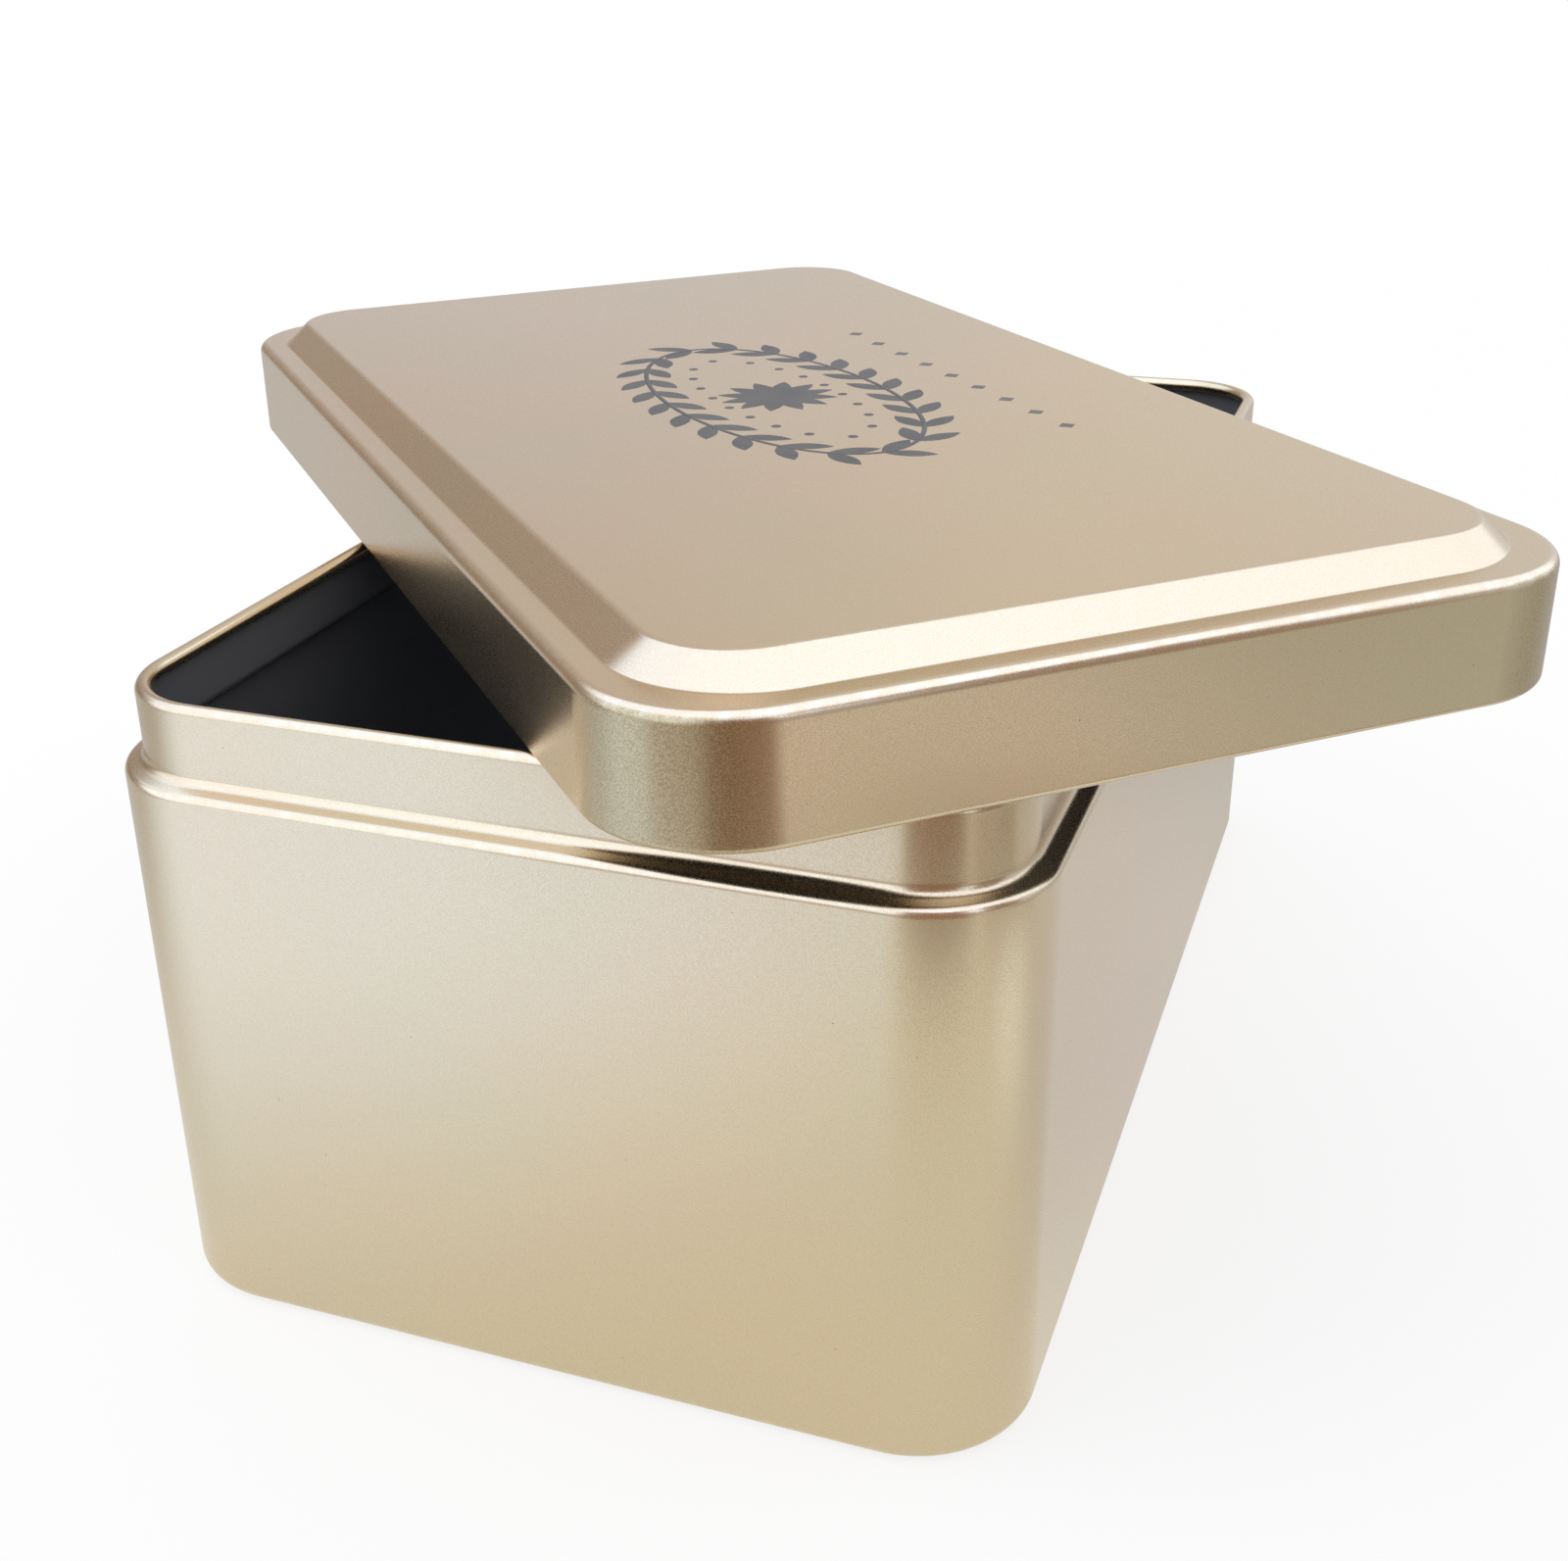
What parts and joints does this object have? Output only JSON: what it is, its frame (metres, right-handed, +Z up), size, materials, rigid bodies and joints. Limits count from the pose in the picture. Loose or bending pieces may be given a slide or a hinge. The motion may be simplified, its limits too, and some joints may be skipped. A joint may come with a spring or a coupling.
{
  "type": "gift tin",
  "caption": "Rectangular gift tin with rounded corners, a stepped-in neck and rolled rim, and a separate stepped lid lying askew across the open rim.",
  "frame": {"origin": "on the ground that the tin stands on, under the middle of the box that the tin and its askew lid fill together", "axes": "+Z up out of the open tin, +Y along the tin's long side, away from the short side that shows in the picture, +X along its short side to the right"},
  "size_m": [0.1798, 0.1844, 0.0882],
  "materials": {
    "wall_lacquer": "satin champagne-gold lacquer on tinplate, dark lacquer inside",
    "base_lacquer": "satin gold lacquer on tinplate, dark lacquer inside",
    "lid_lacquer": "satin champagne-gold lacquer on tinplate, dark lacquer inside"
  },
  "bodies": {
    "tin": {"side_wall": "wall_lacquer", "base_panel": "base_lacquer"},
    "lid": {"lid": "lid_lacquer"}
  },
  "joints": [
    {"name": "lid_lift", "type": "slide", "parent": "tin", "child": "lid", "axis": [0, 0, 1], "range_m": [0, 0.12]}
  ]
}
